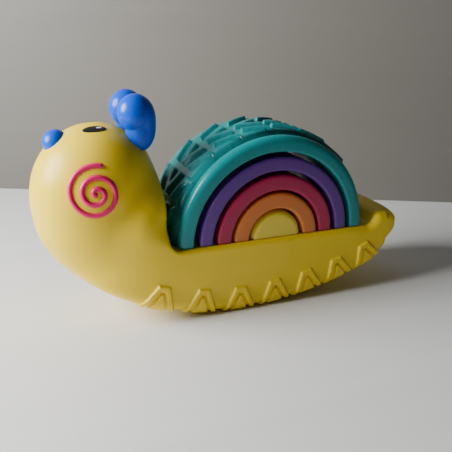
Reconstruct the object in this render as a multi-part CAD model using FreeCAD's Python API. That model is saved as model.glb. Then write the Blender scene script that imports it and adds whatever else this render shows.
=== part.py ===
"""Rocking snail with a nesting rainbow shell, a moulded-plastic stacking toy.

Frame: +X towards the tail, -Y the snail's left cheek, +Z up. The origin is on the ground, under
the middle of the whole toy. Shapes are laid out from the deck, the flat top that the shell stands
on: deck point (0, 0, 0) is the centre of the arches. DECK_TO_ROW then moves every piece into place.
"""
import FreeCAD, Part
import math
import os

V = FreeCAD.Vector
X, Y, Z = V(1, 0, 0), V(0, 1, 0), V(0, 0, 1)

# Body, measured from the deck's arch centre
DECK_HEIGHT = 42.5
WALL = 2.2
HALF_WIDTH = 31.0
DECK_EDGE = 3.0
SOLE_LOW_X = -20.3
SOLE_FRONT_R = 174.0
SOLE_REAR_R = 232.0
SOLE_EDGE = 7.0
STERN_X = 87.0
STERN_DEPTH = 13.0
STERN_POWER = 3.6
LIP_START, LIP_END = 63.0, 73.0
LIP_HEIGHT, LIP_EDGE = 5.5, 5.0
TAIL_START = LIP_START - 0.5
NECK_X = -65.3
NECK_FILLET = 2.4
SNOUT_X = -134.2
DECK_TO_ROW = V(-0.5 * (STERN_X + SNOUT_X), 0, DECK_HEIGHT)

# Raised chevrons along each side of the rocker
CHEVRONS = 7
CHEVRON_MIDDLE_X, CHEVRON_PITCH, CHEVRON_PINCH = 0.5, 23.5, -0.48
CHEVRON_HEIGHT, CHEVRON_TOP, CHEVRON_BAND, CHEVRON_GAP = 15.5, 3.6, 3.0, 1.7
CHEVRON_FLARE = 0.46
CHEVRON_ROOT, CHEVRON_REACH = 2.2, 5.0
TOOTH_HALF_TOP = 0.25
RELIEF = 1.2

# Locating pins that join two moulded halves
BODY_PINS = [(-100.0, 44.0), (-100.0, 5.0), (-56.0, -20.0), (20.0, -18.0), (74.0, -8.0)]
BODY_BOSS_R, BODY_PIN_R = 4.2, 2.0
ARCH_BOSS_R, ARCH_PIN_R = 2.1, 1.1
ARCH_PIN_ANGLES = (35, 90, 145)
PIN_CLEARANCE, PIN_REACH = 0.2, 4.0

# Shell: four nesting arches round a half disc, each standing on the deck
HALF_DEPTH = 28.6
ARCH_WALL = 2.0
ARCH_EDGE = 1.6
FOOT_EDGE = 1.2
NEST_SHIFT = 0.4
TEAL_INNER_R, TEAL_RING_R, TEAL_BAND_R = 51.0, 60.2, 62.6
TEAL_COVER_DEPTH, TEAL_RING_EDGE, TEAL_RING_BACK, TEAL_SHOULDER = 5.6, 3.8, 0.4, 4.4
TEAL_TONGUE, TEAL_PLAY = 1.2, 0.15
NEST = [
    ("purple_arch", 40.0, 48.1),
    ("pink_arch", 28.5, 37.6),
    ("orange_arch", 17.5, 27.1),
]
DISC_R, DISC_EDGE = 16.1, 3.4
MOTIFS, MOTIF_FIRST, MOTIF_PITCH, MOTIF_LENGTH = 10, 6.2, 17.3, 14.6
MOTIF_RELIEF = 2.0

# Face
NOSE_R = 6.9
NOSE_AT, NOSE_OUT = V(-118.6, 0, 58.8), V(-0.66, 0, 0.75)
NOSE_STEM_R, NOSE_STEM = 3.0, 9.0
EYE_AT, EYE_OUT = V(-99.6, -9.0, 66.3), V(-0.03, -0.36, 0.93)
EYE_HALF_LENGTH, EYE_HALF_WIDTH = 6.4, 2.9
GLINT_SHIFT = V(2.6, 0, 0)
GLINT_HALF_LENGTH, GLINT_HALF_WIDTH = 1.5, 0.6
SPIRAL_X, SPIRAL_Z = -104.2, 37.0
SPIRAL_R, SPIRAL_PITCH, SPIRAL_TURNS = 14.2, 5.7, 2.35
SPIRAL_HALF_BEAD, SPIRAL_PROUD = 1.5, 1.3
EYE_PROUD, GLINT_PROUD = 0.3, 0.55
ANTENNA_Y = 6.0
PEG_R, PEG_LENGTH = 2.6, 9.0
PEG_AT, PEG_ALONG = V(-75.5, -6.0, 58.5), V(-0.62, 0.1, -0.78)


def export(shape, node):
    placed = shape.copy()
    placed.translate(DECK_TO_ROW)
    placed.exportStep("parts/%s.step" % node)


def box(low, high):
    size = V(*high) - V(*low)
    return Part.makeBox(size.x, size.y, size.z, V(*low))


def mirror_y(shape):
    return shape.mirror(V(0, 0, 0), Y)


def polygon_prism(points, along):
    return Part.Face(Part.makePolygon(points + points[:1])).extrude(along)


def pinned_halves(left, inside, places, boss_r, pin_r):
    """Left half with posts and pins, and its mirror image with matching sockets.

    left lies on -Y and inside is the space that the posts may fill.
    """
    for x, z in places:
        post = Part.makeCylinder(boss_r, 2 * HALF_WIDTH, V(x, 0, z), V(0, -1, 0))
        left = left.fuse(post.common(inside))
    right = mirror_y(left)
    for x, z in places:
        left = left.fuse(Part.makeCylinder(pin_r, 2 * PIN_REACH, V(x, -PIN_REACH, z), Y))
        socket_r = pin_r + PIN_CLEARANCE
        right = right.cut(Part.makeCylinder(socket_r, PIN_REACH + 0.5, V(x, 0, z), Y))
    return left, right


# ---------------------------------------------------------------- body sections

def sole_z(x):
    """Height of the rocking sole: a tight arc ahead of its lowest line, a slack one behind it."""
    radius = SOLE_FRONT_R if x < SOLE_LOW_X else SOLE_REAR_R
    return -DECK_HEIGHT + radius - math.sqrt(radius ** 2 - (x - SOLE_LOW_X) ** 2)


def section(inner, angle, length, half_width, inner_edge, outer_edge, inset):
    """Closed outline of the body in the plane that holds Y and the direction at `angle`.

    inner is its (x, z) nearest the valley, and each edge is a quarter ellipse (across, along).
    """
    along = V(math.cos(math.radians(angle)), 0, math.sin(math.radians(angle)))
    start = V(inner[0], 0, inner[1]) + along * max(inset, 0)
    length -= inset + max(inset, 0)
    half_width -= inset
    flat = 0.4
    ends = []
    for across, depth in (inner_edge, outer_edge):
        ends.append((min(max(across - inset, 0.8), half_width - flat), max(depth - inset, 0.8)))
    room = (length - flat) / (ends[0][1] + ends[1][1])
    (a1, b1), (a2, b2) = [(a, b * min(1.0, room)) for a, b in ends]

    def at(y, s):
        return start + Y * y + along * s

    def corner(centre, a, b, first):
        """Quarter ellipse about centre, from the angle first to 90 degrees past it."""
        handle = 4 / 3 * (math.sqrt(2) - 1)
        poles = []
        for t, pull in ((first, 0), (first, handle), (first + 90, -handle), (first + 90, 0)):
            c, s = math.cos(math.radians(t)), math.sin(math.radians(t))
            poles.append(centre + Y * (a * (c - pull * s)) + along * (b * (s + pull * c)))
        curve = Part.BezierCurve()
        curve.setPoles(poles)
        return curve.toShape()

    w, h = half_width, length
    edges = [
        Part.LineSegment(at(-(w - a1), 0), at(w - a1, 0)).toShape(),
        corner(at(w - a1, b1), a1, b1, -90),
        Part.LineSegment(at(w, b1), at(w, h - b2)).toShape(),
        corner(at(w - a2, h - b2), a2, b2, 0),
        Part.LineSegment(at(w - a2, h), at(-(w - a2), h)).toShape(),
        corner(at(-(w - a2), h - b2), a2, b2, 90),
        Part.LineSegment(at(-w, h - b2), at(-w, b1)).toShape(),
        corner(at(-(w - a1), b1), a1, b1, 180),
    ]
    return Part.Wire(edges)


def deck_sections(inset):
    """Upright sections along the straight deck."""
    sections = []
    steps = 7
    for k in range(steps):
        x = NECK_X + NECK_FILLET + (TAIL_START - NECK_X - NECK_FILLET) * k / (steps - 1)
        edges = (DECK_EDGE, DECK_EDGE), (SOLE_EDGE, SOLE_EDGE)
        sections.append(section((x, 0), -90, -sole_z(x), HALF_WIDTH, *edges, inset))
    return sections


def tail_sections(inset):
    """Upright sections through the raised lip to the blunt stern."""
    sections = []
    shares = (0, 0.13, 0.26, 0.39, 0.54, 0.68, 0.79, 0.88, 0.95)
    end = TAIL_START + (STERN_X - TAIL_START) / shares[-1] - inset
    for share in shares:
        x = TAIL_START + (end - TAIL_START) * share
        rise = min(max((x - LIP_START) / (LIP_END - LIP_START), 0), 1)
        top = LIP_HEIGHT * rise * rise * (3 - 2 * rise)
        past = max((x - (end - STERN_DEPTH)) / STERN_DEPTH, 0)
        width = HALF_WIDTH * (1 - past ** STERN_POWER) ** (1 / STERN_POWER)
        top -= LIP_EDGE - math.sqrt(LIP_EDGE ** 2 - max(x - end + LIP_EDGE, 0) ** 2)
        low = sole_z(x) + SOLE_EDGE - math.sqrt(SOLE_EDGE ** 2 - max(x - end + SOLE_EDGE, 0) ** 2)
        edge = DECK_EDGE + (LIP_EDGE - DECK_EDGE) * rise
        edges = (edge, edge), (SOLE_EDGE, SOLE_EDGE)
        sections.append(section((x, top), -90, top - low, width, *edges, inset))
    return sections


def head_sections(inset):
    """Sections that fan round the foot of the neck, from upright to level, then climb the head."""
    pivot = (NECK_X + NECK_FILLET, NECK_FILLET)
    upright = -sole_z(pivot[0])
    fan = [
        (-90, upright, HALF_WIDTH, (3, 3), (7, 7)),
        (-110, 35.6, 31.0, (3.5, 4), (8, 8)),
        (-130, 36.8, 31.0, (5, 5.5), (9, 9)),
        (-147, 40.4, 31.0, (8, 8), (13, 12)),
        (-162, 46.8, 31.0, (12, 11), (20, 20)),
        (-176, 58.0, 30.9, (16, 15), (28, 36)),
    ]
    sections = []
    for angle, length, width, inner_edge, outer_edge in fan:
        turn = math.radians(angle)
        inner = (pivot[0] + NECK_FILLET * math.cos(turn), pivot[1] + NECK_FILLET * math.sin(turn))
        sections.append(section(inner, angle, length, width, inner_edge, outer_edge, inset))
    climb = [
        (8.5, -65.3, 64.8, 30.8, (19, 18), (30, 45)),
        (18.0, -65.3, 67.8, 30.8, (24, 23), (30.4, 44)),
        (30.0, -65.4, 68.8, 30.6, (29, 30), (30, 38)),
        (41.0, -66.6, 66.4, 29.4, (28.8, 32), (28.8, 34)),
        (51.0, -70.6, 58.0, 26.4, (26, 28), (26, 29.5)),
        (59.0, -76.6, 45.0, 20.8, (20.3, 22), (20.3, 22.6)),
        (64.5, -83.2, 31.0, 14.6, (14, 15), (14, 15.6)),
        (67.8, -90.0, 16.0, 7.6, (7.1, 7.5), (7.1, 8)),
        (68.9, -94.6, 6.4, 3.1, (2.6, 2.8), (2.6, 3.1)),
    ]
    for z, x, length, width, inner_edge, outer_edge in climb:
        z -= inset * max(z - 41.0, 0) / 26.6
        sections.append(section((x, z), 180, length, width, inner_edge, outer_edge, inset))
    return sections


def body_solid(inset):
    """Everything inside the body's surface moved in by inset."""
    deck, tail, head = [
        Part.makeLoft(sections, True, False)
        for sections in (deck_sections(inset), tail_sections(inset), head_sections(inset))
    ]
    return deck.fuse([tail, head]).removeSplitter()


# ---------------------------------------------------------------- body shells

def chevrons(envelope):
    """Raised chevrons along the left side, trimmed to the envelope that stands RELIEF proud."""

    def outline(half_top, high, low):
        half_low = half_top + CHEVRON_FLARE * (high - low)
        return [(-half_low, low), (-half_top, high), (half_top, high), (half_low, low)]

    def prism(corners, x, lean):
        solid = polygon_prism([V(u, 0, v) for u, v in corners], V(0, -CHEVRON_REACH, 0))
        solid.rotate(V(0, 0, 0), Y, -lean)
        solid.translate(V(x, CHEVRON_ROOT - HALF_WIDTH, sole_z(x)))
        return solid

    low = -SOLE_EDGE
    void_top = CHEVRON_HEIGHT - CHEVRON_BAND
    band = outline(CHEVRON_TOP, CHEVRON_HEIGHT, low)
    void = outline(CHEVRON_TOP - 0.5 * CHEVRON_BAND, void_top, low - 1)
    tooth = outline(TOOTH_HALF_TOP, void_top - CHEVRON_GAP, low)
    bars = []
    for k in range(CHEVRONS):
        step = k - CHEVRONS // 2
        x = CHEVRON_MIDDLE_X + CHEVRON_PITCH * step + CHEVRON_PINCH * step ** 2
        radius = SOLE_FRONT_R if x < SOLE_LOW_X else SOLE_REAR_R
        lean = math.degrees(math.asin((x - SOLE_LOW_X) / radius))
        bars.append(prism(band, x, lean).cut(prism(void, x, lean)))
        bars.append(prism(tooth, x, lean))
    return Part.makeCompound(bars).common(envelope)


def body_shells(skin, relief, fittings):
    """Left and right moulded halves, meeting on the middle plane and located by pins."""
    near = box((-200, -60, -60), (150, 0, 120))
    outer, inner = skin
    left = outer.cut(inner).common(near).fuse(relief)
    left, right = pinned_halves(left, outer.common(near), BODY_PINS, BODY_BOSS_R, BODY_PIN_R)
    return left.cut(fittings), right.cut(fittings)


# ---------------------------------------------------------------- shell arches

def half_ring(inner_r, outer_r, centre_x, low_y, high_y, edges):
    """Half ring over the deck, between two Y planes.

    edges are the corner radii at low Y inside, low Y outside, high Y outside.
    """
    inside, outside, back = edges
    corners = [
        (inner_r, high_y, 0), (inner_r, low_y, inside), (outer_r, low_y, outside),
        (outer_r, high_y, back),
    ]
    ends = []
    edge_list = []
    count = len(corners)
    for k, (r, y, radius) in enumerate(corners):
        here = V(r, y, 0)
        before = V(corners[k - 1][0], corners[k - 1][1], 0)
        after = V(corners[(k + 1) % count][0], corners[(k + 1) % count][1], 0)
        start = here + (before - here).normalize() * radius
        end = here + (after - here).normalize() * radius
        ends.append((start, end))
        if radius > 0:
            middle = here + ((before - here).normalize() + (after - here).normalize()) * (
                radius * (1 - math.sqrt(0.5)))
            edge_list.append(Part.Arc(start, middle, end).toShape())
    for k in range(count):
        edge_list.append(Part.LineSegment(ends[k][1], ends[(k + 1) % count][0]).toShape())
    profile = Part.Face(Part.Wire(Part.__sortEdges__(edge_list)))
    ring = profile.revolve(V(0, 0, 0), V(0, -1, 0), 180)
    ring.translate(V(centre_x, 0, 0))
    return ring


def rounded_feet(solid, radius):
    """Rounds the long edges of each foot, the ones that lie along Y on the deck."""
    edges = []
    for edge in solid.Edges:
        ends = [v.Point for v in edge.Vertexes]
        flat = all(abs(p.z) < 1e-6 for p in ends)
        if flat and len(ends) == 2 and abs(ends[0].x - ends[1].x) < 1e-6:
            edges.append(edge)
    return solid.makeFillet(radius, edges)


def above(z):
    return box((-100, -60, z), (100, 60, 120))


def arch_halves(inner_r, outer_r, centre_x):
    """Two hollow halves of one arch, open to each other at the middle plane."""
    edges = (ARCH_EDGE, ARCH_EDGE, 0)
    solid = half_ring(inner_r, outer_r, centre_x, -HALF_DEPTH, 0, edges)
    solid = rounded_feet(solid, FOOT_EDGE)
    hollow = half_ring(
        inner_r + ARCH_WALL, outer_r - ARCH_WALL, centre_x, -HALF_DEPTH + ARCH_WALL, 1, (0, 0, 0))
    left = solid.cut(hollow.common(above(ARCH_WALL)))
    middle_r = 0.5 * (inner_r + outer_r)
    places = []
    for angle in ARCH_PIN_ANGLES:
        turn = math.radians(angle)
        places.append((centre_x + middle_r * math.cos(turn), middle_r * math.sin(turn)))
    return pinned_halves(left, solid, places, ARCH_BOSS_R, ARCH_PIN_R)


def disc_halves(centre_x):
    """Two hollow halves of the half disc at the middle of the nest."""

    def half_disc(radius, face_y, edge, back_y):
        disc = Part.makeCylinder(radius, back_y - face_y, V(centre_x, face_y, 0), Y)
        if edge > 0:
            rim = [e for e in disc.Edges if e.Closed and abs(e.CenterOfMass.y - face_y) < 1e-6]
            disc = disc.makeFillet(edge, rim)
        return disc.common(above(0))

    solid = half_disc(DISC_R, -HALF_DEPTH, DISC_EDGE, 0)
    hollow = half_disc(DISC_R - ARCH_WALL, -HALF_DEPTH + ARCH_WALL, 0, 1)
    left = solid.cut(hollow.common(above(ARCH_WALL)))
    places = [(centre_x, 0.5 * DISC_R)]
    return pinned_halves(left, solid, places, ARCH_BOSS_R, ARCH_PIN_R)


def relief_bars():
    """Feathered bars round the teal band: a notched wedge between two slanting bars, repeated."""
    slope = 0.5
    top = MOTIF_LENGTH
    rise = slope * top
    wedge_half, bar_inner, bar_outer = 1.5, 8.2, 11.4
    notch_low, notch_half = 0.45 * top, 3.2
    wedge = [
        (0, -wedge_half), (top, -wedge_half - rise), (top, -notch_half), (notch_low, 0),
        (top, notch_half), (top, wedge_half + rise), (0, wedge_half),
    ]
    bars = []
    for side in (-1, 1):
        bars.append([
            (0, side * bar_inner), (top, side * (bar_inner + rise)),
            (top, side * (bar_outer + rise)), (0, side * bar_outer),
        ])
    solids = []
    for k in range(MOTIFS):
        start = MOTIF_FIRST + k * MOTIF_PITCH
        middle = start + 0.5 * math.degrees(MOTIF_LENGTH / TEAL_BAND_R)
        for outline in [wedge] + bars:
            points = [V(-(s - 0.5 * top), y, TEAL_BAND_R - ARCH_WALL) for s, y in outline]
            solid = polygon_prism(points, V(0, 0, 6))
            solid.rotate(V(0, 0, 0), Y, 90 - middle)
            solids.append(solid.mirror(V(0, 0, 0), X))
    reach = Part.makeCylinder(TEAL_BAND_R + MOTIF_RELIEF, 2 * HALF_DEPTH, V(0, -HALF_DEPTH, 0), Y)
    return Part.makeCompound(solids).common(reach)


def teal_arch():
    """The outer arch: a ribbed band with round shoulders, closed by a lower cover on each side."""
    joint_y = HALF_DEPTH - TEAL_COVER_DEPTH
    edges = (0, TEAL_SHOULDER, TEAL_SHOULDER)
    band = half_ring(TEAL_INNER_R, TEAL_BAND_R, 0, -joint_y, joint_y, edges)
    band = rounded_feet(band, FOOT_EDGE)
    in_r, chamber_r = TEAL_INNER_R + ARCH_WALL, TEAL_BAND_R - ARCH_WALL
    tunnel_r, chamber_y = chamber_r - TEAL_SHOULDER, joint_y - TEAL_SHOULDER
    tunnel = half_ring(in_r, tunnel_r, 0, -joint_y - 1, joint_y + 1, (0, 0, 0))
    chamber = half_ring(in_r, chamber_r, 0, -chamber_y, chamber_y, (0, 0, 0))
    hollow = tunnel.fuse(chamber).common(above(ARCH_WALL))
    band = band.cut(hollow).fuse(relief_bars())
    edges = (ARCH_EDGE, TEAL_RING_EDGE, TEAL_RING_BACK)
    cover = half_ring(TEAL_INNER_R, TEAL_RING_R, 0, -HALF_DEPTH, -joint_y, edges)
    cover = rounded_feet(cover, FOOT_EDGE)
    pocket = half_ring(in_r, tunnel_r, 0, -HALF_DEPTH + ARCH_WALL, -joint_y + 1, (0, 0, 0))
    cover = cover.cut(pocket.common(above(ARCH_WALL)))
    low_r = in_r + TEAL_PLAY
    tongue = half_ring(low_r, low_r + TEAL_TONGUE, 0, -HALF_DEPTH + 1, -joint_y + 3, (0, 0, 0))
    cover = cover.fuse(tongue.common(above(ARCH_WALL + TEAL_PLAY)))
    return band, cover, mirror_y(cover)


# ---------------------------------------------------------------- face

def ellipse_prism(at, out, half_length, half_width, depth):
    """Elliptical prism along out, its long axis in the middle plane."""
    out = V(out.x, out.y, out.z).normalize()
    long_axis = Y.cross(out).normalize()
    ellipse = Part.Ellipse(
        at - out * depth + long_axis * half_length,
        at - out * depth + out.cross(long_axis) * half_width, at - out * depth)
    return Part.Face(Part.Wire(ellipse.toShape())).extrude(out * (2 * depth))


def spiral_prism():
    """Flat spiral band with round ends, extruded across the left cheek."""

    def rail(offset):
        points = []
        steps = 60
        for k in range(steps + 1):
            share = k / steps
            turn = math.radians(76) + 2 * math.pi * SPIRAL_TURNS * share
            radius = SPIRAL_R - SPIRAL_PITCH * SPIRAL_TURNS * share + offset
            points.append(V(SPIRAL_X + radius * math.cos(turn), 0, SPIRAL_Z + radius * math.sin(turn)))
        curve = Part.BSplineCurve()
        curve.interpolate(points)
        return points, curve.toShape()

    outer_points, outer = rail(SPIRAL_HALF_BEAD)
    inner_points, inner = rail(-SPIRAL_HALF_BEAD)
    ends = []
    for k, step in ((0, 1), (-1, -1)):
        a, b = outer_points[k], inner_points[k]
        away = (a - outer_points[k + step]).normalize()
        ends.append(Part.Arc(a, (a + b) * 0.5 + away * SPIRAL_HALF_BEAD, b).toShape())
    wire = Part.Wire(Part.__sortEdges__([outer, inner] + ends))
    return Part.Face(wire).extrude(V(0, -60, 0))


def antenna(body):
    """Thick comma-shaped antenna on the left: its sections fan round the crease under the ball."""
    crease_x, crease_z, crease_r = -76.6, 64.0, 0.8
    fan = [
        (-112, 10.5, 5.0), (-85, 11.3, 5.3), (-55, 10.9, 5.2), (-25, 10.4, 5.0), (5, 10.9, 5.0),
        (35, 13.2, 5.3), (62, 16.8, 5.6), (88, 19.0, 5.7), (112, 18.2, 5.7), (132, 15.2, 5.6),
        (148, 11.4, 5.2), (162, 8.0, 4.4),
    ]
    sections = []
    for angle, length, half_width in fan:
        turn = math.radians(angle)
        inner = (crease_x + crease_r * math.cos(turn), crease_z + crease_r * math.sin(turn))
        half = half_width, 0.5 * length
        sections.append(section(inner, angle, length, half_width, half, half, 0))
    horn = Part.makeLoft(sections, True, False)
    horn.translate(V(0, -ANTENNA_Y, 0))
    peg = Part.makeCylinder(PEG_R, PEG_LENGTH, PEG_AT, PEG_ALONG)
    return horn.cut(body).fuse(peg), peg


def nose(body):
    out = V(NOSE_OUT.x, NOSE_OUT.y, NOSE_OUT.z).normalize()
    dome = Part.makeSphere(NOSE_R, NOSE_AT)
    stem = Part.makeCylinder(NOSE_STEM_R, NOSE_STEM, NOSE_AT + out * 3, out * -1)
    return dome.cut(body).fuse(stem), stem


# ---------------------------------------------------------------- assembly

def main():
    os.makedirs("parts", exist_ok=True)
    outer, inner = body_solid(0), body_solid(WALL)
    nodes = {}

    eye_top = body_solid(-EYE_PROUD)
    pupil = ellipse_prism(EYE_AT, EYE_OUT, EYE_HALF_LENGTH, EYE_HALF_WIDTH, 5)
    eye = pupil.common(eye_top).cut(outer)
    spot = ellipse_prism(EYE_AT + GLINT_SHIFT, EYE_OUT, GLINT_HALF_LENGTH, GLINT_HALF_WIDTH, 5)
    glint = spot.common(body_solid(-GLINT_PROUD)).cut(eye_top)
    spiral = spiral_prism().common(body_solid(-SPIRAL_PROUD)).cut(outer)
    horn, peg = antenna(outer)
    pairs = {"cheek_spiral": spiral, "eye": eye, "eye_glint": glint, "antenna": horn}
    for name, shape in pairs.items():
        nodes[name + "_left"] = shape
        nodes[name + "_right"] = mirror_y(shape)
    nodes["nose"], stem = nose(outer)

    relief = chevrons(body_solid(-RELIEF))
    left, right = body_shells((outer, inner), relief, [stem, peg, mirror_y(peg)])
    nodes["body_left_shell"], nodes["body_right_shell"] = left, right

    band, left_cover, right_cover = teal_arch()
    nodes["teal_arch_band"] = band
    nodes["teal_arch_left_cover"], nodes["teal_arch_right_cover"] = left_cover, right_cover
    for name, inner_r, outer_r in NEST:
        halves = arch_halves(inner_r, outer_r, NEST_SHIFT)
        nodes[name + "_left"], nodes[name + "_right"] = halves
    nodes["disc_left"], nodes["disc_right"] = disc_halves(NEST_SHIFT)

    for name, shape in nodes.items():
        export(shape, name)
        low, high = shape.BoundBox.ZMin, shape.BoundBox.ZMax
        print(name, shape.isValid(), len(shape.Solids), round(shape.Volume), round(low, 1), round(high, 1))


main()
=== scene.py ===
"""Looks of the rocking snail: a yellow moulded body, blue trim and a nest of rainbow arches.

Every shape is laid out in millimetres from the deck, the flat top that the shell stands on, with
+X towards the tail and -Y the snail's left, and to_row() takes it to the frame's metres.
"""

import math

import bmesh
import bpy
import numpy as np
from mathutils import Matrix, Vector


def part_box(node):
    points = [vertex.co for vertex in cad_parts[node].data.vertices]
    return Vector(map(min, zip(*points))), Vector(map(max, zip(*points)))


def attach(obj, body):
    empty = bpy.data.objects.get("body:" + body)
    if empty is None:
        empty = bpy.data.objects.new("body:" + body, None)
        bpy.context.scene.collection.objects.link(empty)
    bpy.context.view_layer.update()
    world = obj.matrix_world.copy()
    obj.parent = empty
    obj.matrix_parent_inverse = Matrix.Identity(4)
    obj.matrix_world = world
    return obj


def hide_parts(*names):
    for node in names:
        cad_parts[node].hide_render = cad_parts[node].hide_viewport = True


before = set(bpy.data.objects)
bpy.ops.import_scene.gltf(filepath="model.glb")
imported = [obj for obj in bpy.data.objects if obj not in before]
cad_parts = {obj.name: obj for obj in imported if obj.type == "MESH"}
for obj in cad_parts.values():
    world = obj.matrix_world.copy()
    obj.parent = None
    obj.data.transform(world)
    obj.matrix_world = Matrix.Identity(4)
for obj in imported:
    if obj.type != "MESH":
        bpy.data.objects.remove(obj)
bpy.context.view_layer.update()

MM = 0.001
SIDES = (("left", 1), ("right", -1))

ring_low, ring_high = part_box("teal_arch_left_cover")
DECK = np.array([(ring_low.x + ring_high.x) / 2, 0, ring_low.z])
DECK_HEIGHT = DECK[2] / MM
HALF_DEPTH = -ring_low.y / MM
disc_low, disc_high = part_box("disc_left")
DISC_X = ((disc_low.x + disc_high.x) / 2 - DECK[0]) / MM
DISC_R, DISC_EDGE = (disc_high.x - disc_low.x) / 2 / MM, 3.4

# Head: an egg leaning back, over a chest that fills the throat
HEAD_X, HEAD_Z, HEAD_LEAN = -99.57, 31.37, 0.26
HEAD_UP, HEAD_DOWN, HEAD_REACH, HEAD_HALF_WIDTH = 36.99, 41.42, 34.13, 30.0
CHEST_X, CHEST_Z, CHEST_R, CHEST_HALF_WIDTH = -78.63, 19.65, 23.54, 30.5
HEAD_BLEND, HULL_BLEND = 6.1, 7.8

# Rocker: a hull with a curved sole, a pointed bow under the head and a blunt stern
SOLE_LOW_X, SOLE_FRONT_R, SOLE_REAR_R, SOLE_EDGE = -20.3, 174.0, 232.0, 7.0
HULL_HALF_WIDTH = 31.0
BOW_X, BOW_LENGTH, BOW_POWER = -66.3, 55.4, 2.13
STERN_X, STERN_LENGTH, STERN_POWER = 88.0, 10.0, 4.2
LIP_TOP, LIP_EDGE, LIP_START, LIP_FILLET = 7.8, 6.0, 69.0, 6.0
STERN_ROUND, STERN_ROUND_X, STERN_ROUND_RUN = 7.0, 68.0, 16.0
NECK_X, NECK_FILLET, NECK_EDGE_FILLET, NECK_EDGE_Y, NECK_EDGE_RUN = -65.3, 3.0, 8.0, 27.0, 4.0
THROAT_X, THROAT_LENGTH, THROAT_RISE, THROAT_EDGE, THROAT_BLEND = -60.0, 24.0, 15.0, 10.0, 4.0
DECK_EDGE, DECK_EDGE_GAIN, DECK_EDGE_X, DECK_EDGE_RUN = 2.6, 2.4, 50.0, 15.0

# Raised chevrons round the sole
CHEVRON_MIDDLE_X, CHEVRON_PITCH, CHEVRON_PINCH, CHEVRON_SIDE = 0.5, 23.5, -0.48, 3
CHEVRON_HEIGHT, CHEVRON_TOP, CHEVRON_FLARE = 15.5, 3.6, 0.46
CHEVRON_BAND, CHEVRON_GAP, CHEVRON_RELIEF, CHEVRON_RAMP = 3.0, 1.7, 1.4, 1.0
CHEVRON_INSET, CHEVRON_FADE = 4.6, 1.8

# Shell: loose arches with rounded edges, the outermost a band with raised motifs between two rings
ARCH_EDGE, FOOT_EDGE, SEAM_EDGE, DISC_FOOT_EDGE, LEAST_EDGE = 1.6, 1.2, 0.22, 0.8, 0.15
RING_EDGE, RING_DEPTH, RING_BACK_EDGE, BAND_SHOULDER = 3.8, 5.6, 0.6, 4.4
MOTIFS, MOTIF_FIRST, MOTIF_PITCH, MOTIF_LENGTH = 10, 6.2, 17.3, 14.6
MOTIF_SLOPE, MOTIF_RELIEF, MOTIF_RAMP = 0.5, 2.0, 0.9
WEDGE_HALF, NOTCH_HALF, NOTCH_SHARE, BAR_INNER, BAR_OUTER = 1.5, 3.2, 0.45, 8.2, 11.4
RELIEF_MARGIN, RELIEF_FADE = 1.2, 0.6
ARCH_STEP, RING_STEP, BAND_STEP = 1.6, 1.2, 0.42
SHARP_ANGLE, BAND_SHARP_ANGLE = 38, 100

# Face
SPIRAL_X, SPIRAL_Z = -104.2, 37.0
SPIRAL_R, SPIRAL_PITCH, SPIRAL_TURNS, SPIRAL_START = 14.2, 5.7, 2.35, 76.0
SPIRAL_BEAD, SPIRAL_SUNK = 1.5, 0.3
ANTENNA_Y, ANTENNA_SUNK, ANTENNA_RIM = 9.4, 1.5, 0.5
BALL_X, BALL_Z, BALL_R = -77.7, 73.8, (9.6, 8.8, 10.2)
CRESCENT_X, CRESCENT_Z, CRESCENT_R = -75.0, 66.1, (8.4, 6.4, 13.0)
CREASE_FRONT, CREASE_BEHIND, CREASE_START, CREASE_RUN = 0.6, 4.0, 2.0, 5.0
NOSE_X, NOSE_Z, NOSE_R, NOSE_SUNK, NOSE_RIM = -118.6, 58.8, 6.9, 1.2, 0.6
EYE_AT, EYE_OUT, EYE_HALF_SIZE = (-99.6, -9.0, 66.3), (-0.03, -0.36, 0.93), (6.4, 2.9)
GLINT_AT, GLINT_HALF_SIZE = (-97.0, -8.4, 66.6), (1.5, 0.6)
EYE_LEVELS, GLINT_LEVELS = (-0.3, 0.25), (0.1, 0.38)

# Room that each field is meshed in, as low and high corners, and the size of the net's cells
BODY_ROOM, BODY_NET = ([-137, -34, -DECK_HEIGHT - 2], [91, 0, 72]), 0.8
DISC_ROOM = [-20, -31, -2], [20, 0, 19]
ANTENNA_ROOM = [-92, -20, 50], [-62, 1, 88]
TRIM_NET = 0.6


# ---------------------------------------------------------------- fields: negative inside, in mm

def blend(a, b, width):
    """Smooth union."""
    h = np.clip(0.5 + 0.5 * (b - a) / width, 0, 1)
    return b + (a - b) * h - width * h * (1 - h)


def cut_round(a, b, radius):
    """Intersection with a rounded edge."""
    a, b = a + radius, b + radius
    return np.minimum(np.maximum(a, b), 0) + np.hypot(np.maximum(a, 0), np.maximum(b, 0)) - radius


def ellipsoid(u, v, w, a, b, c):
    """Close to the distance from an ellipsoid with half axes a, b and c."""
    near = np.sqrt((u / a) ** 2 + (v / b) ** 2 + (w / c) ** 2)
    slope = np.sqrt((u / a ** 2) ** 2 + (v / b ** 2) ** 2 + (w / c ** 2) ** 2) + 1e-9
    return near * (near - 1) / slope


def smooth_step(value):
    """Eases from 0 to 1 as value goes from 0 to 1."""
    t = np.clip(value, 0, 1)
    return t * t * (3 - 2 * t)


def sole_frame(x, z):
    """Radius of the sole's arc at x, the distance above the sole and the angle along it."""
    radius = np.where(x < SOLE_LOW_X, SOLE_FRONT_R, SOLE_REAR_R)
    up = radius - DECK_HEIGHT - z
    return radius, radius - np.hypot(x - SOLE_LOW_X, up), np.arctan2(x - SOLE_LOW_X, up)


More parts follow.
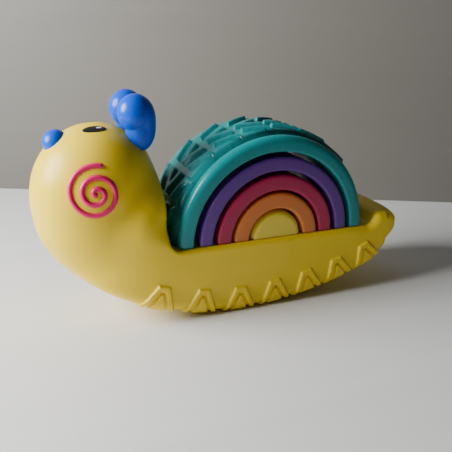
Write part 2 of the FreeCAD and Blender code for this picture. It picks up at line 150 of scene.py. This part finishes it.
def head_field(x, y, z):
    """Egg-shaped head, blended into the chest."""
    c, s = math.cos(HEAD_LEAN), math.sin(HEAD_LEAN)
    dx, dz = x - HEAD_X, z - HEAD_Z
    along, across = dx * s + dz * c, dx * c - dz * s
    reach = np.where(along > 0, HEAD_UP, HEAD_DOWN)
    egg = ellipsoid(along, across, y, reach, HEAD_REACH, HEAD_HALF_WIDTH)
    chest = ellipsoid(x - CHEST_X, y, z - CHEST_Z, CHEST_R, CHEST_HALF_WIDTH, CHEST_R)
    return blend(egg, chest, HEAD_BLEND)


def plan_field(x, y):
    """Outline of the rocker seen from above, as a field."""
    stern = np.maximum(x - (STERN_X - STERN_LENGTH), 0) / STERN_LENGTH
    bow = np.maximum(BOW_X - x, 0) / BOW_LENGTH
    share = y / HULL_HALF_WIDTH
    at_stern = ((stern ** STERN_POWER + share ** STERN_POWER) ** (1 / STERN_POWER) - 1) * STERN_LENGTH
    at_bow = ((bow ** BOW_POWER + share ** BOW_POWER) ** (1 / BOW_POWER) - 1) * HULL_HALF_WIDTH
    side = y - HULL_HALF_WIDTH
    return np.where(x > STERN_X - STERN_LENGTH, at_stern, np.where(x < BOW_X, at_bow, side))


def smooth_body(x, y, z):
    """The body without its chevrons."""
    y = np.abs(y)
    plan = plan_field(x, y)
    above = sole_frame(x, z)[1]
    throat = smooth_step((THROAT_X - x) / THROAT_LENGTH)
    top = LIP_TOP + THROAT_RISE * throat
    sole_edge = SOLE_EDGE + STERN_ROUND * smooth_step((x - STERN_ROUND_X) / STERN_ROUND_RUN)
    hull = cut_round(cut_round(plan, -above, sole_edge), z - top, LIP_EDGE + THROAT_EDGE * throat)
    whole = blend(head_field(x, y, z), hull, HULL_BLEND + THROAT_BLEND * throat)
    at_edge = smooth_step((y - NECK_EDGE_Y) / NECK_EDGE_RUN)
    fillet = NECK_FILLET + (NECK_EDGE_FILLET - NECK_FILLET) * at_edge
    deck_space = np.maximum(
        cut_round(NECK_X - x, -z, fillet), cut_round(x - LIP_START, -z, LIP_FILLET))
    edge = DECK_EDGE + DECK_EDGE_GAIN * np.clip((x - DECK_EDGE_X) / DECK_EDGE_RUN, 0, 1)
    return cut_round(whole, -deck_space, edge)


def chevron_height(x, y, z):
    """How far the chevrons stand proud at a point of the body's side."""
    radius, above, angle = sole_frame(x, z)
    distance = np.full_like(x, 99.0)
    lean = math.hypot(1, CHEVRON_FLARE)
    for k in range(-CHEVRON_SIDE, CHEVRON_SIDE + 1):
        middle = CHEVRON_MIDDLE_X + CHEVRON_PITCH * k + CHEVRON_PINCH * k * k
        arc_r = SOLE_FRONT_R if middle < SOLE_LOW_X else SOLE_REAR_R
        along = np.abs(angle * radius - arc_r * math.asin((middle - SOLE_LOW_X) / arc_r))
        slant = (along - CHEVRON_TOP - CHEVRON_FLARE * (CHEVRON_HEIGHT - above)) / lean
        outline = np.maximum(slant, above - CHEVRON_HEIGHT)
        band = np.abs(outline + CHEVRON_BAND / 2) - CHEVRON_BAND / 2
        tooth = outline + CHEVRON_BAND + CHEVRON_GAP
        distance = np.minimum(distance, np.minimum(band, tooth))
    depth = plan_field(x, np.abs(y))
    on_side = smooth_step((depth + CHEVRON_INSET) / CHEVRON_FADE)
    return CHEVRON_RELIEF * smooth_step(0.5 - distance / CHEVRON_RAMP) * on_side


def body_field(x, y, z):
    """The body with its chevrons."""
    return smooth_body(x, y, z) - chevron_height(x, y, z)


def nose_field(x, y, z):
    """Button nose: a dome let into the head, with a soft rim."""
    dome = ellipsoid(x - NOSE_X, y, z - NOSE_Z, NOSE_R, NOSE_R, NOSE_R)
    return cut_round(dome, -smooth_body(x, y, z) - NOSE_SUNK, NOSE_RIM)


def antenna_field(x, y, z):
    """A fat ball on a thinner crescent that hooks round under it and ends in a point."""
    y = y + ANTENNA_Y
    ball = ellipsoid(x - BALL_X, y, z - BALL_Z, *BALL_R)
    crescent = ellipsoid(x - CRESCENT_X, y, z - CRESCENT_Z, *CRESCENT_R)
    behind = smooth_step((x - BALL_X - CREASE_START) / CREASE_RUN)
    horn = blend(crescent, ball, CREASE_FRONT + CREASE_BEHIND * behind)
    return cut_round(horn, -smooth_body(x, y - ANTENNA_Y, z) - ANTENNA_SUNK, ANTENNA_RIM)


def disc_field(x, y, z):
    """Half disc at the middle of the nest, with a soft rim."""
    round_face = cut_round(np.hypot(x - DISC_X, z) - DISC_R, np.abs(y) - HALF_DEPTH, DISC_EDGE)
    return cut_round(round_face, -z, DISC_FOOT_EDGE)


# ---------------------------------------------------------------- meshes

def gradient(field, points):
    """The field's slope at each point."""
    nudge = 0.02
    parts = []
    for axis in range(3):
        offset = np.zeros(3)
        offset[axis] = nudge
        parts.append(field(*(points + offset).T) - field(*(points - offset).T))
    return np.stack(parts, 1) / (2 * nudge)


def settle(field, points, rounds=4, level=0.0):
    """Points moved onto the field's surface."""
    for _ in range(rounds):
        slope = gradient(field, points)
        value = field(*points.T) - level
        points = points - slope * (value / np.maximum((slope ** 2).sum(1), 0.05))[:, None]
    return points


def sample(field, axes, step):
    """The field on a grid, worked out only in the blocks that its surface can reach."""
    shape = [len(a) for a in axes]
    values = np.full(shape, 9.0)
    size = 16
    reach = 1.5 * size * step
    for i in range(0, shape[0], size):
        for j in range(0, shape[1], size):
            for k in range(0, shape[2], size):
                block = [a[s:s + size] for a, s in zip(axes, (i, j, k))]
                middle = [np.array([0.5 * (b[0] + b[-1])]) for b in block]
                centre = field(*middle)[0]
                spot = tuple(slice(s, s + size) for s in (i, j, k))
                if abs(centre) > reach:
                    values[spot] = centre
                    continue
                grid = np.meshgrid(*block, indexing="ij")
                values[spot] = field(*[g.ravel() for g in grid]).reshape(grid[0].shape)
    return values


def surface_net(field, low, high, step, seam):
    """Vertices and quads of the field's surface.

    With seam, high is at y = 0, the field is symmetric there, and the mesh ends in a loop on it.
    """
    axes = [np.arange(low[a], high[a] + step, step) for a in range(3)]
    if seam:
        count = int(math.ceil(-low[1] / step))
        axes[1] = np.arange(-count, 2) * step
    values = sample(field, axes, step)
    inside = values < 0
    corners = [(a, b, c) for a in (0, 1) for b in (0, 1) for c in (0, 1)]
    cells = [n - 1 for n in inside.shape]

    def corner(grid, at):
        return grid[tuple(slice(o, o + n) for o, n in zip(at, cells))]

    filled = sum(corner(inside, at).astype(np.int8) for at in corners)
    active = (filled > 0) & (filled < 8)
    where = np.argwhere(active)
    number = np.full(cells, -1)
    number[active] = np.arange(len(where))
    held = {at: values[tuple((where + at).T)] for at in corners}
    total = np.zeros((len(where), 3))
    crossings = np.zeros(len(where))
    for at in corners:
        for axis in range(3):
            if at[axis]:
                continue
            end = tuple(1 if a == axis else o for a, o in enumerate(at))
            a, b = held[at], held[end]
            crossed = (a < 0) != (b < 0)
            share = np.where(crossed, a / np.where(crossed, a - b, 1), 0)
            spot = np.tile(np.array(at, float), (len(where), 1))
            spot[:, axis] += share
            total += spot * crossed[:, None]
            crossings += crossed
    origin = np.array([a[0] for a in axes])
    points = origin + (where + total / crossings[:, None]) * step

    quads = []
    last = len(axes[1]) - 2 if seam else len(axes[1])
    for axis in range(3):
        b, c = (axis + 1) % 3, (axis + 2) % 3
        first = tuple(slice(0, -1) if a == axis else slice(None) for a in range(3))
        second = tuple(slice(1, None) if a == axis else slice(None) for a in range(3))
        start, end = inside[first], inside[second]
        spots = np.argwhere(start != end)
        if seam:
            spots = spots[spots[:, 1] <= (last if axis != 1 else last - 1)]
        ring = []
        for ob, oc in ((-1, -1), (0, -1), (0, 0), (-1, 0)):
            at = spots.copy()
            at[:, b] += ob
            at[:, c] += oc
            ring.append(number[tuple(at.T)])
        quad = np.stack(ring, 1)
        outward = start[tuple(spots.T)]
        quads.append(np.where(outward[:, None], quad, quad[:, ::-1]))
    quads = np.concatenate(quads)
    on_seam = where[:, 1] >= last if seam else np.zeros(len(where), bool)
    used = np.unique(quads)
    renumber = np.full(len(points), -1)
    renumber[used] = np.arange(len(used))
    return points[used], renumber[quads], on_seam[used]


def relax(field, points, quads, on_seam, rounds):
    """Evens out the spacing of the vertices, which stay on the surface."""
    for _ in range(rounds):
        total = np.zeros_like(points)
        share = np.zeros(len(points))
        for a, b in ((0, 1), (1, 2), (2, 3), (3, 0)):
            for one, other in ((a, b), (b, a)):
                np.add.at(total, quads[:, one], points[quads[:, other]])
                np.add.at(share, quads[:, one], 1)
        mean = total / share[:, None]
        moved = points + 0.5 * (mean - points)
        moved[on_seam, 1] = 0
        points = settle(field, moved, 2)
    return points


def to_row(points):
    """Deck millimetres to the frame's metres."""
    return np.asarray(points) * MM + DECK


def make_piece(name, points, faces, body, slot, replaces, normals=None):
    """A smooth-shaded piece that rides on a body and stands for CAD nodes."""
    mesh = bpy.data.meshes.new(name)
    mesh.from_pydata([tuple(p) for p in to_row(points)], [], [tuple(f) for f in faces])
    mesh.validate()
    mesh.shade_smooth()
    piece = bpy.data.objects.new(name, mesh)
    bpy.context.scene.collection.objects.link(piece)
    if normals is not None:
        mesh.normals_split_custom_set_from_vertices([tuple(n) for n in normals])
    piece.data.materials.append(MATERIALS[slot])
    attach(piece, body)
    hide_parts(*replaces)
    return piece


def mirrored(points, faces, normals, sign):
    """A left mesh as it is, or mirrored for the right side."""
    if sign > 0:
        return points, faces, normals
    flip = np.array([1, -1, 1])
    return points * flip, [tuple(f)[::-1] for f in faces], normals * flip


def mirrored_rings(rings, sign):
    """Left rings as they are, or mirrored for the right side."""
    return [ring * np.array([1, sign, 1]) for ring in rings]


def seam_loops(quads, on_seam):
    """The seam's vertices in order, so that flat faces can close the half."""
    following = {}
    for quad in quads:
        for a, b in zip(quad, np.roll(quad, -1)):
            if on_seam[a] and on_seam[b]:
                following[b] = a
    loops = []
    while following:
        start, at = following.popitem()
        loop = [start]
        while at != start:
            loop.append(at)
            at = following.pop(at)
        loops.append(loop)
    return loops


def unit_gradient(field, points):
    slope = gradient(field, points)
    return slope / np.linalg.norm(slope, axis=1)[:, None]


def net_mesh(field, low, high, step, seam, rounds):
    """Even mesh of the field's surface, with the normals that the field gives."""
    points, quads, on_seam = surface_net(field, low, high, step, seam)
    points[on_seam, 1] = 0
    points = relax(field, settle(field, points), quads, on_seam, rounds)
    return points, quads, on_seam, unit_gradient(field, points)


def net_pair(names, field, low, high, step, body, slot, nodes, seam=False, rounds=2):
    """Left and right pieces from one field: two halves of a moulding, or a mirrored pair."""
    points, quads, on_seam, normals = net_mesh(field, low, high, step, seam, rounds)
    faces = [tuple(q) for q in quads]
    if seam:
        points[on_seam] -= SEAM_EDGE * normals[on_seam]
        points[on_seam, 1] = 0
        faces += [tuple(loop) for loop in seam_loops(quads, on_seam)]
    for name, node, (_, sign) in zip(names, nodes, SIDES):
        its_points, its_faces, its_normals = mirrored(points, faces, normals, sign)
        make_piece(name, its_points, its_faces, body, slot, [node], its_normals)


def tube_mesh(rings):
    """Vertices and faces through rings of the same number of points, closed at both ends."""
    count = len(rings[0])
    points = np.concatenate(rings)
    faces = []
    for k in range(len(rings) - 1):
        a, b = k * count, (k + 1) * count
        for i in range(count):
            j = (i + 1) % count
            faces.append((a + i, a + j, b + j, b + i))
    faces.append(tuple(range(count))[::-1])
    faces.append(tuple(range(len(points) - count, len(points))))
    return points, faces


def outward(piece, crisp=SHARP_ANGLE):
    """Turns every face outward, and keeps edges crisp where two faces meet by over crisp degrees."""
    bm = bmesh.new()
    bm.from_mesh(piece.data)
    bmesh.ops.recalc_face_normals(bm, faces=bm.faces)
    bm.to_mesh(piece.data)
    bm.free()
    piece.data.set_sharp_from_angle(angle=math.radians(crisp))


# ---------------------------------------------------------------- arches

def profile(inner_r, outer_r, front_y, back_y, radii, inset, spacing=None):
    """Outline of an arch's section as (r, y) rows, shrunk by inset away from its back.

    radii are those of the inner front, outer front, outer back and inner back edges, and spacing
    is the distance between rows on the outside, where relief needs many.
    """
    low_r, high_r, low_y = inner_r + inset, outer_r - inset, front_y + inset
    corners = [(low_r, low_y, 180), (high_r, low_y, 270), (high_r, back_y, 0), (low_r, back_y, 90)]
    rows = []
    for (r, y, first), radius in zip(corners, radii):
        radius = max(radius - inset, LEAST_EDGE)
        centre_r = r + radius if r == low_r else r - radius
        centre_y = y + radius if y == low_y else y - radius
        turn = np.radians(np.linspace(first, first + 90, 7))
        arc = np.stack([centre_r + radius * np.cos(turn), centre_y + radius * np.sin(turn)], 1)
        if rows:
            outside = spacing and first == 0
            extra = int(math.dist(rows[-1], arc[0]) / spacing) if outside else 2
            rows.extend(np.linspace(rows[-1], arc[0], extra + 2)[1:-1])
        rows.extend(arc)
    return np.array(rows)


def arch_rings(inner_r, outer_r, front_y, back_y, radii, centre_x, arc_step, spacing=None, lift=None):
    """Rings of an arch from the head-side foot to the tail-side foot, feet rounded off."""
    middle_r = 0.5 * (inner_r + outer_r)
    foot_steps = 6
    stations = []
    for k in range(foot_steps):
        turn = 0.5 * math.pi * k / foot_steps
        height = FOOT_EDGE * (1 - math.cos(turn))
        stations.append((math.asin(height / middle_r), FOOT_EDGE * (1 - math.sin(turn))))
    foot = math.asin(FOOT_EDGE / middle_r)
    count = int((math.pi - 2 * foot) * middle_r / arc_step)
    full = [(foot + (math.pi - 2 * foot) * k / count, 0) for k in range(count + 1)]
    stations = stations + full + [(math.pi - a, i) for a, i in stations[::-1]]
    rings = []
    for angle, inset in stations:
        rows = profile(inner_r, outer_r, front_y, back_y, radii, inset, spacing)
        r, y = rows[:, 0], rows[:, 1]
        if lift is not None:
            r = r + lift(angle, r, y)
        rings.append(np.stack([centre_x - r * math.cos(angle), y, r * math.sin(angle)], 1))
    return rings


def node_arc(node):
    """Inner radius, outer radius and centre of an arch's CAD node, in deck millimetres."""
    low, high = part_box(node)
    outer_r = (high.x - low.x) / 2 / MM
    centre = ((low.x + high.x) / 2 - DECK[0]) / MM
    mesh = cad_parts[node].data
    co = np.empty(3 * len(mesh.vertices))
    mesh.vertices.foreach_get("co", co)
    local = (co.reshape(-1, 3) - DECK) / MM
    inner_r = np.hypot(local[:, 0] - centre, local[:, 2]).min()
    return inner_r, outer_r, centre


def ring_piece(name, rings, body, slot, node, crisp=SHARP_ANGLE):
    """A piece through rings, closed at both ends."""
    points, faces = tube_mesh(rings)
    outward(make_piece(name, points, faces, body, slot, [node]), crisp)


def nested_arches():
    """The three plain arches, each two mouldings that meet on the middle plane."""
    slots = {"purple": "purple_plastic", "pink": "magenta_plastic", "orange": "orange_plastic"}
    for colour, slot in slots.items():
        arch = colour + "_arch"
        for side, sign in SIDES:
            node = "%s_%s" % (arch, side)
            inner_r, outer_r, centre = node_arc(node)
            radii = (ARCH_EDGE, ARCH_EDGE, SEAM_EDGE, SEAM_EDGE)
            rings = arch_rings(inner_r, outer_r, -HALF_DEPTH, 0, radii, centre, ARCH_STEP)
            ring_piece(node + "_moulding", mirrored_rings(rings, sign), arch, slot, node)


def outline_distance(s, y, outline):
    """Signed distance to a closed outline, negative inside."""
    best = np.full_like(s, 1e9)
    inside = np.zeros(s.shape, bool)
    for (s0, y0), (s1, y1) in zip(outline, outline[1:] + outline[:1]):
        ds, dy = s1 - s0, y1 - y0
        t = np.clip(((s - s0) * ds + (y - y0) * dy) / (ds * ds + dy * dy), 0, 1)
        best = np.minimum(best, np.hypot(s - s0 - ds * t, y - y0 - dy * t))
        crosses = (y0 > y) != (y1 > y)
        inside ^= crosses & (s < s0 + ds * (y - y0) / (dy if dy else 1))
    return np.where(inside, -best, best)


def motif_outlines():
    """Notched wedge between two slanting bars, as (along, across) outlines."""
    top, rise = MOTIF_LENGTH, MOTIF_SLOPE * MOTIF_LENGTH
    outlines = [[
        (0, -WEDGE_HALF), (top, -WEDGE_HALF - rise), (top, -NOTCH_HALF), (NOTCH_SHARE * top, 0),
        (top, NOTCH_HALF), (top, WEDGE_HALF + rise), (0, WEDGE_HALF),
    ]]
    for side in (-1, 1):
        outlines.append([
            (0, side * BAR_INNER), (top, side * (BAR_INNER + rise)),
            (top, side * (BAR_OUTER + rise)), (0, side * BAR_OUTER),
        ])
    return outlines


def teal_arch():
    """The outer arch: a band with raised motifs, and a rounded ring on each side of it."""
    inner_r, ring_r, _ = node_arc("teal_arch_left_cover")
    band_r = node_arc("teal_arch_band")[1] - MOTIF_RELIEF
    joint_y = HALF_DEPTH - RING_DEPTH
    outlines = motif_outlines()

    def relief(angle, r, y):
        on_top = smooth_step((r - band_r + RELIEF_MARGIN) / RELIEF_FADE)
        height = np.zeros_like(r)
        for k in range(MOTIFS):
            along = np.full_like(y, band_r * (angle - math.radians(MOTIF_FIRST + k * MOTIF_PITCH)))
            if -MOTIF_RAMP < along[0] < MOTIF_LENGTH + MOTIF_RAMP:
                for outline in outlines:
                    distance = outline_distance(along, y, outline)
                    height = np.maximum(height, smooth_step(0.5 - distance / MOTIF_RAMP))
        return MOTIF_RELIEF * height * on_top

    radii = (SEAM_EDGE, BAND_SHOULDER, BAND_SHOULDER, SEAM_EDGE)
    rings = arch_rings(inner_r, band_r, -joint_y, joint_y, radii, 0, BAND_STEP, BAND_STEP, relief)
    ring_piece("teal_band_moulding", rings, "teal_arch", "teal_plastic", "teal_arch_band", BAND_SHARP_ANGLE)
    radii = (ARCH_EDGE, RING_EDGE, RING_BACK_EDGE, SEAM_EDGE)
    rings = arch_rings(inner_r, ring_r, -HALF_DEPTH, -joint_y, radii, 0, RING_STEP)
    for side, sign in SIDES:
        ring_piece("teal_%s_ring" % side, mirrored_rings(rings, sign), "teal_arch", "teal_plastic",
                   "teal_arch_%s_cover" % side)


# ---------------------------------------------------------------- face

def cheek_points(x, z):
    """Points of the left cheek over (x, z)."""
    near, far = np.full_like(x, -60.0), np.zeros_like(x)
    for _ in range(40):
        middle = 0.5 * (near + far)
        out = smooth_body(x, middle, z) > 0
        near, far = np.where(out, middle, near), np.where(out, far, middle)
    return np.stack([x, near, z], 1)


def spiral_rings():
    """Round bead that follows a spiral over the left cheek, with domed ends."""
    count = 260
    share = np.linspace(0, 1, count)
    turn = math.radians(SPIRAL_START) + 2 * math.pi * SPIRAL_TURNS * share
    radius = SPIRAL_R - SPIRAL_PITCH * SPIRAL_TURNS * share
    line = cheek_points(SPIRAL_X + radius * np.cos(turn), SPIRAL_Z + radius * np.sin(turn))
    normals = unit_gradient(smooth_body, line)
    tangents = np.gradient(line, axis=0)
    tangents /= np.linalg.norm(tangents, axis=1)[:, None]
    sideways = np.cross(tangents, normals)
    around = np.linspace(0, 2 * math.pi, 21)[:-1]
    rings = []

    def ring(k, shift, size):
        centre = line[k] - normals[k] * SPIRAL_SUNK + tangents[k] * shift
        across = np.outer(np.cos(around), sideways[k]) + np.outer(np.sin(around), normals[k])
        return centre + across * size

    dome = [(math.cos(a), math.sin(a)) for a in np.linspace(0.1, 1.4, 6)]
    for c, s in dome:
        rings.append(ring(0, -SPIRAL_BEAD * c, SPIRAL_BEAD * s))
    for k in range(count):
        rings.append(ring(k, 0, SPIRAL_BEAD))
    for c, s in dome[::-1]:
        rings.append(ring(count - 1, SPIRAL_BEAD * c, SPIRAL_BEAD * s))
    return rings


def pad_rings(at, half_length, half_width, base, proud):
    """Elliptical pad that follows the head, from base under the skin to proud above it."""
    out = np.array(EYE_OUT) / np.linalg.norm(EYE_OUT)
    long_axis = np.cross((0, 1, 0), out)
    long_axis /= np.linalg.norm(long_axis)
    wide_axis = np.cross(out, long_axis)
    around = np.linspace(0, 2 * math.pi, 49)[:-1]
    rings = []
    levels = [(1.0, base), (1.0, proud - 0.12), (0.985, proud - 0.03), (0.95, proud)]
    levels += [(share, proud) for share in (0.8, 0.6, 0.4, 0.2, 0.04)]
    for share, height in levels:
        rim = (np.outer(np.cos(around) * half_length * share, long_axis)
               + np.outer(np.sin(around) * half_width * share, wide_axis))
        rings.append(settle(smooth_body, np.array(at) + rim, 6, height))
    return rings


def face_trim():
    """Antennae, cheek spirals, eyes and glints, each as a mirrored pair."""
    net_pair(("antenna_left_horn", "antenna_right_horn"), antenna_field, *ANTENNA_ROOM, TRIM_NET,
             "snail_body", "blue_plastic", ("antenna_left", "antenna_right"), rounds=3)
    pieces = [
        ("cheek_spiral_%s_bead", spiral_rings(), "pink_plastic", "cheek_spiral_%s"),
        ("eye_%s_pad", pad_rings(EYE_AT, *EYE_HALF_SIZE, *EYE_LEVELS), "black_plastic", "eye_%s"),
        ("eye_glint_%s_dot", pad_rings(GLINT_AT, *GLINT_HALF_SIZE, *GLINT_LEVELS), "white_plastic",
         "eye_glint_%s"),
    ]
    for side, sign in SIDES:
        for name, rings, slot, node in pieces:
            ring_piece(name % side, mirrored_rings(rings, sign), "snail_body", slot, node % side)


def nose_piece():
    """Button nose, meshed in the room that its CAD node takes up."""
    margin = 1.5
    low, high = ((np.array(corner) - DECK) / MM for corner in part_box("nose"))
    points, quads, _, normals = net_mesh(nose_field, low - margin, high + margin, TRIM_NET, False, 3)
    make_piece("nose_button", points, quads, "snail_body", "blue_plastic", ["nose"], normals)


# ---------------------------------------------------------------- materials

def plastic(name, colour, roughness, tone, gloss=0.5):
    """Moulded plastic: faint cloudy colour, uneven satin gloss, fine orange-peel and broad waves."""
    material = bpy.data.materials.new(name)
    material.use_nodes = True
    nodes, links = material.node_tree.nodes, material.node_tree.links
    shader = nodes["Principled BSDF"]
    place = nodes.new("ShaderNodeTexCoord")

    def noise(scale, detail, rough=0.5):
        node = nodes.new("ShaderNodeTexNoise")
        node.inputs["Scale"].default_value = scale
        node.inputs["Detail"].default_value = detail
        node.inputs["Roughness"].default_value = rough
        links.new(place.outputs["Object"], node.inputs["Vector"])
        return node

    def spread(source, low, high):
        """The middle of a noise's range, stretched to low and high."""
        node = nodes.new("ShaderNodeMapRange")
        node.inputs["From Min"].default_value = 0.3
        node.inputs["From Max"].default_value = 0.7
        node.inputs["To Min"].default_value = low
        node.inputs["To Max"].default_value = high
        links.new(source.outputs["Fac"], node.inputs["Value"])
        return node.outputs["Result"]

    def bump(source, strength, distance):
        node = nodes.new("ShaderNodeBump")
        node.inputs["Strength"].default_value = strength
        node.inputs["Distance"].default_value = distance
        links.new(source.outputs["Fac"], node.inputs["Height"])
        return node

    clouds = noise(32.0, 3.0)
    shade = nodes.new("ShaderNodeMix")
    shade.data_type = "RGBA"
    shade.inputs["A"].default_value = (*[c * (1 - tone) for c in colour], 1)
    shade.inputs["B"].default_value = (*[min(c * (1 + tone), 1) for c in colour], 1)
    links.new(spread(clouds, 0, 1), shade.inputs["Factor"])
    links.new(shade.outputs["Result"], shader.inputs["Base Color"])

    blotches = noise(90.0, 6.0, 0.6)
    links.new(spread(blotches, roughness - 0.05, roughness + 0.07), shader.inputs["Roughness"])
    shader.inputs["Specular IOR Level"].default_value = gloss

    fine = bump(noise(1400.0, 2.0), 0.10, 0.0001)
    broad = bump(noise(110.0, 2.0), 0.12, 0.0004)
    links.new(fine.outputs["Normal"], broad.inputs["Normal"])
    links.new(broad.outputs["Normal"], shader.inputs["Normal"])
    return material


# Colour, roughness, how much the colour varies, and gloss where it isn't the usual
PLASTICS = {
    "yellow_plastic": ((0.90, 0.64, 0.022), 0.32, 0.03, 0.28),
    "blue_plastic": ((0.0, 0.08, 0.62), 0.26, 0.05, 0.28),
    "pink_plastic": ((0.72, 0.012, 0.13), 0.30, 0.05, 0.4),
    "black_plastic": ((0.008, 0.008, 0.010), 0.22, 0.1),
    "white_plastic": ((0.88, 0.88, 0.86), 0.30, 0.03),
    "teal_plastic": ((0.001, 0.26, 0.28), 0.28, 0.05, 0.4),
    "purple_plastic": ((0.105, 0.028, 0.25), 0.36, 0.05),
    "magenta_plastic": ((0.39, 0.006, 0.066), 0.36, 0.05),
    "orange_plastic": ((0.66, 0.18, 0.028), 0.36, 0.04),
    "disc_yellow_plastic": ((0.84, 0.65, 0.05), 0.36, 0.03),
}
MATERIALS = {name: plastic(name, *look) for name, look in PLASTICS.items()}


def stage_material(name, colour, grain):
    """Matt painted surface with a faint grain along one direction."""
    material = bpy.data.materials.new(name)
    material.use_nodes = True
    nodes, links = material.node_tree.nodes, material.node_tree.links
    shader = nodes["Principled BSDF"]
    place = nodes.new("ShaderNodeTexCoord")
    stretch = nodes.new("ShaderNodeMapping")
    stretch.inputs["Scale"].default_value = grain
    noise = nodes.new("ShaderNodeTexNoise")
    noise.inputs["Scale"].default_value = 4.0
    noise.inputs["Detail"].default_value = 4.0
    mix = nodes.new("ShaderNodeMix")
    mix.data_type = "RGBA"
    mix.inputs["A"].default_value = (*[c * 0.94 for c in colour], 1)
    mix.inputs["B"].default_value = (*[c * 1.05 for c in colour], 1)
    links.new(place.outputs["Object"], stretch.inputs["Vector"])
    links.new(stretch.outputs["Vector"], noise.inputs["Vector"])
    links.new(noise.outputs["Fac"], mix.inputs["Factor"])
    links.new(mix.outputs["Result"], shader.inputs["Base Color"])
    shader.inputs["Roughness"].default_value = 0.6
    return material


# ---------------------------------------------------------------- stage, light and camera

def clear_from_behind(material):
    """Leaves only the front of a panel solid, so that it hides nothing from the far side."""
    nodes, links = material.node_tree.nodes, material.node_tree.links
    side = nodes.new("ShaderNodeNewGeometry")
    clear = nodes.new("ShaderNodeBsdfTransparent")
    choice = nodes.new("ShaderNodeMixShader")
    links.new(side.outputs["Backfacing"], choice.inputs[0])
    links.new(nodes["Principled BSDF"].outputs["BSDF"], choice.inputs[1])
    links.new(clear.outputs["BSDF"], choice.inputs[2])
    links.new(choice.outputs["Shader"], nodes["Material Output"].inputs["Surface"])
    return material


def flat_panel(name, corners, material):
    mesh = bpy.data.meshes.new(name)
    mesh.from_pydata([tuple(c) for c in corners], [], [(0, 1, 2, 3)])
    panel = bpy.data.objects.new(name, mesh)
    bpy.context.scene.collection.objects.link(panel)
    panel.data.materials.append(material)


def stage():
    """Pale table, and a plain wall that crosses behind it at a slant."""
    reach = 3.0
    floor = [(-reach, -reach, 0), (reach, -reach, 0), (reach, reach, 0), (-reach, reach, 0)]
    flat_panel("table_top", floor, stage_material("table_top", (0.78, 0.79, 0.80), (1, 14, 1)))
    turn = math.radians(-25.8)
    along = Vector((math.cos(turn), math.sin(turn), 0)) * reach
    foot = Vector((DECK[0] + 0.060, 0.190, 0))
    height = Vector((0, 0, 2))
    wall = [foot - along, foot + along, foot + along + height, foot - along + height]
    paint = stage_material("wall", (0.165, 0.158, 0.145), (1, 1, 14))
    flat_panel("wall", wall, clear_from_behind(paint))


def area_light(name, at, towards, size, power, colour):
    """Round soft light, with its place and size in metres and its power in watts."""
    data = bpy.data.lights.new(name, "AREA")
    data.shape = "DISK"
    data.size = size
    data.energy = power
    data.color = colour
    lamp = bpy.data.objects.new(name, data)
    lamp.location = at
    lamp.rotation_euler = (Vector(towards) - Vector(at)).to_track_quat("-Z", "Y").to_euler()
    bpy.context.scene.collection.objects.link(lamp)


def lights():
    """A window on the head's side, a weak light from above and a dim room."""
    world = bpy.data.worlds.new("studio")
    bpy.context.scene.world = world
    world.use_nodes = True
    background = world.node_tree.nodes["Background"]
    background.inputs["Color"].default_value = (0.92, 0.96, 1.0, 1)
    background.inputs["Strength"].default_value = 0.042
    area_light("window", (-0.50, 0.03, 0.32), (0.3, -0.10, 0.26), 0.34, 9.5, (1.0, 0.99, 0.96))
    area_light("sky", (-0.1, 0.4, 1.3), (-0.05, -0.02, 0.05), 1.0, 1.0, (0.85, 0.95, 1.0))


def camera():
    """Camera out from the snail's left side and a little towards its head, looking down on it."""
    place = (-163.6, -330.4, 128.5)
    azimuth, elevation, roll = (math.radians(a) for a in (-23.508, 19.627, 1.127))
    back = Vector((math.sin(azimuth) * math.cos(elevation), -math.cos(azimuth) * math.cos(elevation),
                   math.sin(elevation)))
    right = (-back).cross(Vector((0, 0, 1))).normalized()
    up = right.cross(-back)
    rolled_right = right * math.cos(roll) + up * math.sin(roll)
    rolled_up = up * math.cos(roll) - right * math.sin(roll)
    data = bpy.data.cameras.new("camera")
    data.sensor_width = 36.0
    data.lens = 49.38
    data.clip_start = 0.01
    eye = bpy.data.objects.new("camera", data)
    turn = Matrix((rolled_right, rolled_up, back)).transposed().to_4x4()
    eye.matrix_world = Matrix.Translation(Vector(to_row(place))) @ turn
    bpy.context.scene.collection.objects.link(eye)
    bpy.context.scene.camera = eye


# ---------------------------------------------------------------- build

camera()
stage()
lights()
net_pair(("body_left_moulding", "body_right_moulding"), body_field, *BODY_ROOM, BODY_NET,
         "snail_body", "yellow_plastic", ("body_left_shell", "body_right_shell"), seam=True)
net_pair(("disc_left_moulding", "disc_right_moulding"), disc_field, *DISC_ROOM, TRIM_NET,
         "disc", "disc_yellow_plastic", ("disc_left", "disc_right"), seam=True)
nested_arches()
teal_arch()
face_trim()
nose_piece()
